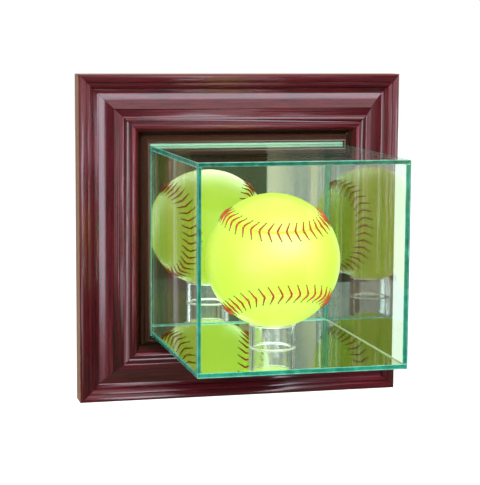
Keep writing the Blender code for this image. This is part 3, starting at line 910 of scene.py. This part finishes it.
def optic_leather(name):
    """Dyed and sealed cowhide: a fluorescent yellow with a fine pebbled grain and a soft shine."""
    material, tree, shader, place = new_finish(
        name,
        {
            "Roughness": 0.45,
            "Specular IOR Level": 0.9,
            "Coat Weight": 0.6,
            "Coat Roughness": 0.32,
            # The glow is partly the dye's fluorescence and mostly painted light, which lifts the
            # shaded side.
            "Emission Color": paint(OPTIC_GLOW),
            "Emission Strength": FLUORESCENCE_AND_PAINTED_GLOW,
        },
    )
    dye = add(
        tree, "ShaderNodeTexNoise", {"Scale": 1 / DYE_PATCH, "Detail": 3.0}, {"Vector": place}
    )
    toned(tree, shader, dye.outputs["Fac"], (OPTIC_YELLOW, OPTIC_GREEN))
    grain = add(
        tree,
        "ShaderNodeTexVoronoi",
        {"Scale": 1 / LEATHER_GRAIN, "Randomness": 1.0},
        {"Vector": place},
    )
    pebble = add(
        tree,
        "ShaderNodeBump",
        {"Strength": 0.35, "Distance": PEBBLE_DEPTH},
        {"Height": grain.outputs["Distance"]},
    )
    tree.links.new(pebble.outputs[0], shader.inputs["Normal"])
    return material


leather = optic_leather("optic_yellow_leather")
swapped = Matrix.Rotation(math.pi, 4, Vector((1, 1, 0)))
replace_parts(sewn_cover("leather_front", Matrix(), leather), "softball_cover_front")
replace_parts(sewn_cover("leather_rear", swapped, leather), "softball_cover_rear")

# Core
# A moulded ball of foam, hidden under the leather and seen only down the seam: a dull yellow with
# fine cells.
CORE_FOAM = "#c9c06a"
CORE_DARK = "#8f8a45"
CORE_CELL = 0.8 * MM

foam = mottled(
    "moulded_foam",
    (CORE_FOAM, CORE_DARK),
    {"Scale": 1 / CORE_CELL, "Detail": 2.0},
    {"Roughness": 0.8},
)
refinish("softball_core", foam)

# Stitches
# Waxed red-orange thread, two legs a stitch, sewn through the two covers in V shapes that all point
# the same way along the seam. Each leg rises at the seam and dives into its needle hole.
STITCHES = 83
STITCH_REACH = 6.6 * MM
STITCH_LEAN = 3.0 * MM
FIRST_STITCH = 0.03  # radians of the seam's round
SEAM_POINTS = 720
THREAD_RADIUS = 0.72 * MM
THREAD_STEPS = 7
THREAD_TAPER = (1.15, 0.6)  # shares of the radius at the seam and at the needle hole
LEG_START = 0.35  # of the thread's radius, from the seam
LEG_BEND = (0.5, 0.55)  # shares of the lean and of the reach
THREAD_TWIST = 0.5 * MM
THREAD_PLY = 0.1 * MM
THREAD_DIVE = (-0.1 * MM, 0.6 * MM)  # from the ball's round: where the thread goes dark, and red
THREAD_RED = "#dc5418"
THREAD_PAINTED_SHADE = "#8e300c"
HOLE_RADIUS = 0.55 * MM
HOLE_DEPTH = 0.4 * MM
HOLE_STEPS = 10
HOLE_DARK = "#3c3a08"
HOLE_RIM = "#5c5a10"


def seam_line(name):
    """The closed line where the covers meet, on the ball in its place."""
    end = cover_end_angle(0.0)
    curve = bpy.data.curves.new(name, "CURVE")
    curve.dimensions = "3D"
    spline = curve.splines.new("POLY")
    spline.points.add(SEAM_POINTS - 1)
    for step, point in enumerate(spline.points):
        turn = FIRST_STITCH + math.tau * step / SEAM_POINTS
        along = end * math.sin(turn)
        half = seam_half_angle(along, 0.0)
        spot = on_ball(along, half if math.cos(turn) > 0 else -half)
        point.co = (*(ball_place @ (spot * ball_radius)), 1.0)
    spline.use_cyclic_u = True
    return put_in_scene(name, curve)


def sewing_tree(name, build_pattern):
    """A tree that sets a pattern on evenly spaced points of a closed seam, upright on the ball."""
    tree, given = new_tree(
        name,
        {
            "Stitches": "Int",
            "Ball Middle": "Vector",
            "Ball Radius": "Float",
            "Reach": "Float",
            "Lean": "Float",
            "Thickness": "Float",
            "Finish": "Material",
        },
    )
    spaced = add(
        tree,
        "GeometryNodeResampleCurve",
        None,
        {"Curve": given["Geometry"], "Count": given["Stitches"]},
    )
    outward = add(
        tree,
        "ShaderNodeVectorMath",
        {"operation": "SUBTRACT"},
        {0: add(tree, "GeometryNodeInputPosition").outputs[0], 1: given["Ball Middle"]},
    )
    turned = add(
        tree,
        "FunctionNodeAxesToRotation",
        {"primary_axis": "Z", "secondary_axis": "X"},
        {
            "Primary Axis": outward.outputs[0],
            "Secondary Axis": add(tree, "GeometryNodeInputTangent").outputs[0],
        },
    )
    placed = add(
        tree,
        "GeometryNodeInstanceOnPoints",
        None,
        {
            "Points": spaced.outputs[0],
            "Instance": build_pattern(tree, given),
            "Rotation": turned.outputs[0],
        },
    )
    close_tree(tree, placed.outputs[0], given["Finish"])
    return tree


def sag(tree, given):
    """How far the ball falls away under a stitch's reach: reach squared over twice the radius."""
    squared = add(
        tree, "ShaderNodeMath", {"operation": "MULTIPLY"}, {0: given["Reach"], 1: given["Reach"]}
    )
    across = add(
        tree, "ShaderNodeMath", {"operation": "MULTIPLY", 1: -2.0}, {0: given["Ball Radius"]}
    )
    fall = add(
        tree,
        "ShaderNodeMath",
        {"operation": "DIVIDE"},
        {0: squared.outputs[0], 1: across.outputs[0]},
    )
    return fall.outputs[0]


def stitch_place(tree, given, lean, label, across, height):
    """A point of a stitch: a share of its lean, a share of a named input across, and a height."""
    x = add(tree, "ShaderNodeMath", {"operation": "MULTIPLY", 1: lean}, {0: given["Lean"]})
    y = add(tree, "ShaderNodeMath", {"operation": "MULTIPLY", 1: across}, {0: given[label]})
    spot = add(
        tree, "ShaderNodeCombineXYZ", None, {"X": x.outputs[0], "Y": y.outputs[0], "Z": height}
    )
    return spot.outputs[0]


def two_legs(tree, given):
    """One stitch: two tapered threads that spread from the seam to their needle holes."""
    joined = add(tree, "GeometryNodeJoinGeometry")
    thin = given["Thickness"]
    deep = add(tree, "ShaderNodeMath", {"operation": "SUBTRACT"}, {0: sag(tree, given), 1: thin})
    for sign in (1.0, -1.0):
        leg = add(
            tree,
            "GeometryNodeCurveQuadraticBezier",
            {"Resolution": THREAD_STEPS},
            {
                "Start": stitch_place(tree, given, 0.0, "Thickness", LEG_START * sign, thin),
                "Middle": stitch_place(
                    tree, given, LEG_BEND[0], "Reach", LEG_BEND[1] * sign, thin
                ),
                "End": stitch_place(tree, given, 1.0, "Reach", sign, deep.outputs[0]),
            },
        )
        along = add(tree, "GeometryNodeSplineParameter").outputs["Factor"]
        taper = add(
            tree,
            "ShaderNodeMapRange",
            {"To Min": THREAD_TAPER[0], "To Max": THREAD_TAPER[1]},
            {"Value": along},
        )
        round_section = add(
            tree, "GeometryNodeCurvePrimitiveCircle", {"Resolution": THREAD_STEPS}, {"Radius": thin}
        )
        thread = add(
            tree,
            "GeometryNodeCurveToMesh",
            {"Fill Caps": True},
            {
                "Curve": leg.outputs[0],
                "Profile Curve": round_section.outputs["Curve"],
                "Scale": taper.outputs[0],
            },
        )
        tree.links.new(thread.outputs[0], joined.inputs[0])
    soft = add(tree, "GeometryNodeSetShadeSmooth", None, {"Geometry": joined.outputs[0]})
    return soft.outputs[0]


def two_holes(tree, given):
    """The needle holes of one stitch: low dark discs let into the leather."""
    joined = add(tree, "GeometryNodeJoinGeometry")
    for sign in (1.0, -1.0):
        disc = add(
            tree,
            "GeometryNodeMeshCylinder",
            {"Vertices": HOLE_STEPS, "Depth": HOLE_DEPTH},
            {"Radius": given["Thickness"]},
        )
        put = add(
            tree,
            "GeometryNodeTransform",
            None,
            {
                "Geometry": disc.outputs["Mesh"],
                "Translation": stitch_place(tree, given, 1.0, "Reach", sign, sag(tree, given)),
            },
        )
        tree.links.new(put.outputs[0], joined.inputs[0])
    return joined.outputs[0]


def waxed_thread(name):
    """Waxed cotton: a dull red-orange, with painted shade where it dives into its hole."""
    material, tree, shader, place = new_finish(name, {"Roughness": 0.5})
    height = add(
        tree,
        "ShaderNodeVectorMath",
        {"operation": "DISTANCE", 1: tuple(ball_middle)},
        {0: place},
    )
    dive = [ball_radius + depth for depth in THREAD_DIVE]
    toned(tree, shader, height.outputs["Value"], (THREAD_PAINTED_SHADE, THREAD_RED), dive)
    twist = add(
        tree, "ShaderNodeTexNoise", {"Scale": 1 / THREAD_TWIST, "Detail": 1.0}, {"Vector": place}
    )
    ply = add(
        tree,
        "ShaderNodeBump",
        {"Strength": 0.5, "Distance": THREAD_PLY},
        {"Height": twist.outputs["Fac"]},
    )
    tree.links.new(ply.outputs[0], shader.inputs["Normal"])
    return material


# The punched leather in a hole lies in shade
punched_leather = mottled(
    "needle_hole", (HOLE_DARK, HOLE_RIM), {"Scale": 1 / LEATHER_GRAIN}, {"Roughness": 0.8}
)
for name, pattern, thickness, finish in (
    ("stitches", two_legs, THREAD_RADIUS, waxed_thread("waxed_thread")),
    ("needle_holes", two_holes, HOLE_RADIUS, punched_leather),
):
    sewn = made_real(
        name,
        seam_line(name + "_line"),
        sewing_tree(name + "_pattern", pattern),
        {
            "Stitches": STITCHES,
            "Ball Middle": tuple(ball_middle),
            "Ball Radius": ball_radius,
            "Reach": STITCH_REACH,
            "Lean": STITCH_LEAN,
            "Thickness": thickness,
            "Finish": finish,
        },
    )
    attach(sewn, "ball")

# The studio
# A pale floor well below the case and a white surround. Cards and flags that only gloss and glass
# show stand for the room behind the camera; soft boxes above the front and at both sides light it.
FLOOR_DROP = 0.35
FLOOR_HALF = 9.0
FLOOR_WHITE = "#f2f2f0"
FLOOR_LIFT = 0.82
CARD_DISTANCE = 2.76
CARD_LEFT = -0.6
CARD_RIGHT = 2.2
CARD_MIDDLE = 0.18
CARD_TOP = 0.58
CARD_GLOW = 1.0
CARD_CONTRAST = (0.4, 0.65)
CARD_STRETCH = 4.0  # a streak is this many times as high as it is wide
CARD_OLIVE = "#2c2d22"
CARD_OLIVE_PALE = "#55563c"
CARD_CREAM = "#dfcb90"
CARD_BROWN = "#8f8460"
CARD_GREEN = "#7f8d79"
CARD_UMBER = "#4a4638"
CARPET = "#5a6454"
CARPET_PALE = "#707a66"
CARPET_HALF = 3.0
CARPET_BACK = 0.9
CARPET_LIFT = 0.01
FLAG_DARK = "#2a2420"
FLAG_BROWN = "#4a3d33"
FLAG_TOP = 1.2
FLAG_FRONT = -1.25
FLAG_BACK = 1.5
SCRIM_WHITE = "#f0f3ff"
SCRIM_GREY = "#c9cddb"
SCRIM_GLOW = 5.5
SCRIM_SIDES = (-0.5, 2.2)
SCRIM_LOW = (-2.9, 0.6)  # y and z of its lower edge
SCRIM_HIGH = (-1.2, 2.0)
WINDOW_GLOW = 6.0
WINDOW_LEFT = (-2.1, -1.3)
WINDOW_RIGHT = (-1.1, -2.25)
WINDOW_TOP = 1.0
FILL = 0.35
WHITE = (1.0, 1.0, 1.0, 1.0)
# Each upright card's right edge, two tones and streak width, from the left
LOWER_CARDS = (
    ("olive_card", 0.53, CARD_OLIVE, CARD_OLIVE_PALE, 0.25),
    ("jamb_card", 0.57, CARD_CREAM, CARPET_PALE, 0.25),
    ("shade_card", 0.77, CARD_OLIVE_PALE, CARPET, 0.25),
    ("cream_card", 0.845, CARD_CREAM, CARD_BROWN, 0.12),
    ("curtain_card", 0.89, CARD_UMBER, CARD_BROWN, 0.02),
    ("wide_cream_card", CARD_RIGHT, CARD_CREAM, CARD_BROWN, 0.12),
)
UPPER_CARDS = (
    ("wall_card", 0.7, CARPET, CARD_GREEN, 0.3),
    ("shelf_card", CARD_RIGHT, CARD_UMBER, CARD_CREAM, 0.1),
)
# Each soft box's place, its width and height, and its watts
SOFT_BOXES = (
    ("overhead_softbox", (0.2, -2.0, 1.5), (2.4, 1.6), 42.0),
    ("left_softbox", (-1.8, -2.0, 0.2), (1.2, 2.2), 20.0),
    ("right_softbox", (1.9, -1.5, 0.3), (1.2, 1.6), 6.0),
)


def flat_sheet(name, corners, material):
    mesh = bpy.data.meshes.new(name)
    mesh.from_pydata(corners, [], [(0, 1, 2, 3)])
    mesh.materials.append(material)
    sheet = put_in_scene(name, mesh)
    return sheet


def shown_to_the_eye(tree):
    """1 for rays that make the picture, straight or through gloss and glass, and 0 for light."""
    ray = add(tree, "ShaderNodeLightPath").outputs
    seen = ray["Is Camera Ray"]
    for kind in ("Is Glossy Ray", "Is Transmission Ray"):
        more = add(
            tree, "ShaderNodeMath", {"operation": "ADD", "use_clamp": True}, {0: seen, 1: ray[kind]}
        )
        seen = more.outputs[0]
    return seen


def floor_paint(name):
    """Matt white paint, lifted to a clean white where the eye sees it."""
    material, tree, shader, _ = new_finish(
        name, {"Base Color": paint(FLOOR_WHITE), "Roughness": 0.9, "Emission Color": WHITE}
    )
    seen = shown_to_the_eye(tree)
    lift = add(tree, "ShaderNodeMath", {"operation": "MULTIPLY", 1: FLOOR_LIFT}, {0: seen})
    tree.links.new(lift.outputs[0], shader.inputs["Emission Strength"])
    return material


def card_paint(name, dark, pale, streak, glow):
    """A glowing card with soft upright streaks, like a room out of focus."""
    material = bpy.data.materials.new(name)
    material.use_nodes = True
    tree = material.node_tree
    tree.nodes.clear()
    place = add(tree, "ShaderNodeTexCoord").outputs["Object"]
    size = (1 / streak, 1.0, 1 / (CARD_STRETCH * streak))
    drawn = add(tree, "ShaderNodeMapping", {"Scale": size}, {"Vector": place})
    cloud = add(
        tree, "ShaderNodeTexNoise", {"Scale": 1.0, "Detail": 3.0}, {"Vector": drawn.outputs[0]}
    )
    share = add(
        tree,
        "ShaderNodeMapRange",
        {"From Min": CARD_CONTRAST[0], "From Max": CARD_CONTRAST[1]},
        {"Value": cloud.outputs["Fac"]},
    )
    tone = add(
        tree,
        "ShaderNodeMix",
        {"data_type": "RGBA", 6: paint(dark), 7: paint(pale)},
        {0: share.outputs[0]},
    )
    shine = add(tree, "ShaderNodeEmission", {"Strength": glow}, {"Color": tone.outputs[2]})
    add(tree, "ShaderNodeOutputMaterial", None, {"Surface": shine.outputs[0]})
    return material


def upright(start, end, low, high):
    """The corners of an upright sheet between two places on the plan."""
    return [(*start, low), (*end, low), (*end, high), (*start, high)]


def lying(left, right, front, back, z):
    """The corners of a level sheet at a height."""
    return [(left, front, z), (right, front, z), (right, back, z), (left, back, z)]


floor_z = cad_box[0].z - FLOOR_DROP
floor_corners = lying(-FLOOR_HALF, FLOOR_HALF, -FLOOR_HALF, FLOOR_HALF, floor_z)
flat_sheet("studio_floor", floor_corners, floor_paint("studio_floor_paint"))

cards = []
for row, low, high in ((LOWER_CARDS, floor_z, CARD_MIDDLE), (UPPER_CARDS, CARD_MIDDLE, CARD_TOP)):
    left = CARD_LEFT
    for name, right, dark, pale, streak in row:
        corners = upright((left, -CARD_DISTANCE), (right, -CARD_DISTANCE), low, high)
        cards.append((name, corners, dark, pale, streak, CARD_GLOW))
        left = right
window = upright(WINDOW_LEFT, WINDOW_RIGHT, floor_z, WINDOW_TOP)
left_flag = upright((-CARD_RIGHT, FLAG_BACK), (-CARD_RIGHT, FLAG_FRONT), floor_z, FLAG_TOP)
right_flag = upright((CARD_RIGHT, -CARD_DISTANCE), (CARD_RIGHT, FLAG_BACK), floor_z, FLAG_TOP)
carpet = lying(-CARPET_HALF, CARPET_HALF, -CARD_DISTANCE, CARPET_BACK, floor_z + CARPET_LIFT)
scrim = [(x, *SCRIM_LOW) for x in SCRIM_SIDES] + [(x, *SCRIM_HIGH) for x in SCRIM_SIDES[::-1]]
cards += [
    ("window", window, SCRIM_WHITE, SCRIM_GREY, 0.5, WINDOW_GLOW),
    ("left_flag", left_flag, FLAG_DARK, FLAG_BROWN, 0.4, CARD_GLOW),
    ("carpet", carpet, CARPET, CARPET_PALE, 0.4, CARD_GLOW),
    ("right_flag", right_flag, FLAG_DARK, FLAG_BROWN, 0.4, CARD_GLOW),
    ("scrim", scrim, SCRIM_WHITE, SCRIM_GREY, 0.5, SCRIM_GLOW),
]
for name, corners, dark, pale, streak, glow in cards:
    card = flat_sheet(name, corners, card_paint(name + "_paint", dark, pale, streak, glow))
    card.visible_camera = False
    card.visible_diffuse = name == "carpet"  # it also darkens the light from below
    card.visible_shadow = False

case_middle = (cad_box[0] + cad_box[1]) / 2
for name, place, size, watts in SOFT_BOXES:
    data = bpy.data.lights.new(name, "AREA")
    data.shape = "RECTANGLE"
    data.size, data.size_y = size
    data.energy = watts
    lamp = put_in_scene(name, data)
    lamp.visible_glossy = False
    lamp.location = place
    lamp.rotation_euler = (case_middle - Vector(place)).to_track_quat("-Z", "Y").to_euler()

world = bpy.data.worlds.new("studio_surround")
bpy.context.scene.world = world
world.use_nodes = True
sky = world.node_tree
sky.nodes.clear()
fill = add(sky, "ShaderNodeBackground", {"Color": WHITE, "Strength": FILL})
white = add(sky, "ShaderNodeBackground", {"Color": WHITE, "Strength": 1.0})
surround = add(
    sky,
    "ShaderNodeMixShader",
    None,
    {0: shown_to_the_eye(sky), 1: fill.outputs[0], 2: white.outputs[0]},
)
add(sky, "ShaderNodeOutputWorld", None, {"Surface": surround.outputs[0]})
